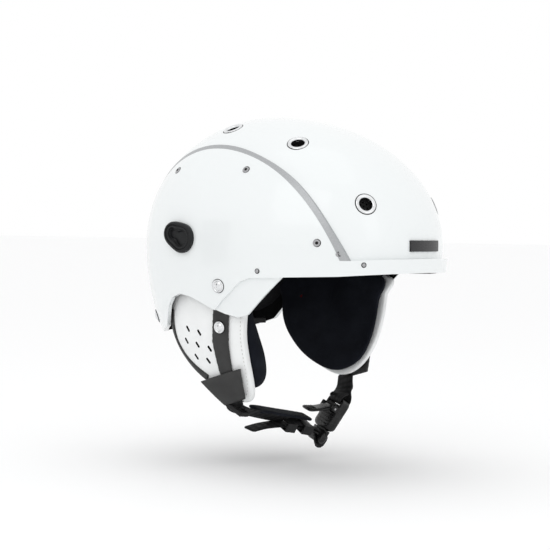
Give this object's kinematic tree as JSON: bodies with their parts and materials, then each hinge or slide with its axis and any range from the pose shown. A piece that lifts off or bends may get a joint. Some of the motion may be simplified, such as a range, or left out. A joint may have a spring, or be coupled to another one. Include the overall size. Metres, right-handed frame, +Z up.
{
  "type": "ski helmet",
  "caption": "Open-face ski helmet: hard two-part shell with brim, chrome-ringed vents, foam liner, soft ear pads, ratchet-buckle chin strap and nape size dial.",
  "frame": {"origin": "centre of the head dome, in the median plane at the level where the shell is widest", "axes": "+Z up when worn, -Y out through the brim, +X to the wearer's left"},
  "size_m": [0.232, 0.2844, 0.3058],
  "materials": {
    "white_shell": "gloss",
    "silver_trim": "satin silver paint on plastic",
    "chrome": "polished",
    "screw_steel": "satin",
    "vent_mesh": "matte",
    "badge_dark": "satin, blank",
    "liner_foam": "fine foam bead grain",
    "comfort_fabric": "brushed knit",
    "socket_black": "satin",
    "white_leather": "soft grained",
    "pad_core": "open foam",
    "pad_lining": "brushed fleece",
    "dark_leather": "matte grained",
    "webbing": "woven",
    "black_plastic": "satin",
    "buckle_plastic": "satin"
  },
  "bodies": {
    "helmet": {"crown_shell": "white_shell", "lower_shell": "white_shell", "trim_strip_left": "silver_trim", "trim_strip_right": "silver_trim", "eyelet_front_left": "chrome", "eyelet_front_right": "chrome", "eyelet_middle_left": "chrome", "eyelet_middle_right": "chrome", "eyelet_rear_left": "chrome", "eyelet_rear_right": "chrome", "shell_snaps": "chrome", "goggle_tab_stud": "chrome", "panel_screws": "screw_steel", "brim_rivets": "screw_steel", "release_pin": "screw_steel", "vent_screens": "vent_mesh", "badge_plate": "badge_dark", "foam_liner": "liner_foam", "crown_pad": "comfort_fabric", "brow_pad": "comfort_fabric", "nape_pad": "comfort_fabric", "temple_pad_left": "comfort_fabric", "temple_pad_right": "comfort_fabric", "mask_socket_left": "socket_black", "mask_socket_right": "socket_black", "chin_pad": "pad_lining", "goggle_tab_root": "dark_leather", "chin_webbing": "webbing", "webbing_tail": "webbing", "housing_webbing_loop": "webbing", "fit_case": "black_plastic", "strap_keeper_front": "black_plastic", "strap_keeper_rear": "black_plastic", "buckle_housing": "buckle_plastic"},
    "ear_pad_right": {"ear_skin_right": "white_leather", "ear_core_right": "pad_core", "ear_lining_right": "pad_lining", "ear_strap_front_right": "dark_leather", "ear_strap_rear_right": "dark_leather", "ear_snap_right": "chrome", "strap_sleeve_right": "dark_leather", "strap_slider": "black_plastic"},
    "ear_pad_left": {"ear_skin_left": "white_leather", "ear_core_left": "pad_core", "ear_lining_left": "pad_lining", "ear_strap_front_left": "dark_leather", "ear_strap_rear_left": "dark_leather", "ear_snap_left": "chrome", "strap_sleeve_left": "dark_leather", "left_webbing": "webbing"},
    "fit_dial_unit": {"fit_dial": "black_plastic", "fit_pinion": "black_plastic"},
    "fit_band_right": {"fit_band_right": "black_plastic"},
    "fit_band_left": {"fit_band_left": "black_plastic"},
    "goggle_tab_flap": {"goggle_tab": "dark_leather", "goggle_tab_snap": "chrome"},
    "tongue": {"ratchet_tongue": "buckle_plastic", "tongue_webbing_loop": "webbing"},
    "release_lever": {"release_lever": "buckle_plastic"}
  },
  "joints": [
    {"name": "ear_pad_right_swing", "type": "hinge", "parent": "helmet", "child": "ear_pad_right", "pos_m": [-0.0975, 0, -0.066], "axis": [0, 1, 0], "range_deg": [0, 20], "stiffness_Nm_per_rad": 1},
    {"name": "ear_pad_left_swing", "type": "hinge", "parent": "helmet", "child": "ear_pad_left", "pos_m": [0.0975, 0, -0.066], "axis": [0, -1, 0], "range_deg": [0, 25], "stiffness_Nm_per_rad": 1},
    {"name": "fit_dial_turn", "type": "hinge", "parent": "helmet", "child": "fit_dial_unit", "pos_m": [0, 0.066, -0.068], "axis": [0, 1, 0], "range_deg": [0, 114.59]},
    {"name": "fit_band_right_slide", "type": "slide", "parent": "helmet", "child": "fit_band_right", "axis": [1, 0, 0], "range_m": [0, 0.01201]},
    {"name": "fit_band_left_slide", "type": "slide", "parent": "helmet", "child": "fit_band_left", "axis": [-1, 0, 0], "range_m": [0, 0.01201]},
    {"name": "goggle_tab_lift", "type": "hinge", "parent": "helmet", "child": "goggle_tab_flap", "pos_m": [0, 0.1161, -0.022], "axis": [1, 0, 0], "range_deg": [0, 55], "stiffness_Nm_per_rad": 0.05},
    {"name": "tongue_draw", "type": "slide", "parent": "helmet", "child": "tongue", "axis": [-0.401, 0.3609, -0.842], "range_m": [0, 0.018]},
    {"name": "release_lever_lift", "type": "hinge", "parent": "helmet", "child": "release_lever", "pos_m": [0.04132, -0.03619, -0.15379], "axis": [0.4068, 0.8937, 0.1893], "range_deg": [0, 35], "stiffness_Nm_per_rad": 0.02}
  ],
  "couplings": [
    {"joint": "fit_band_right_slide", "follows": "fit_dial_turn", "m_per_rad": 0.006},
    {"joint": "fit_band_left_slide", "follows": "fit_dial_turn", "m_per_rad": 0.006}
  ]
}
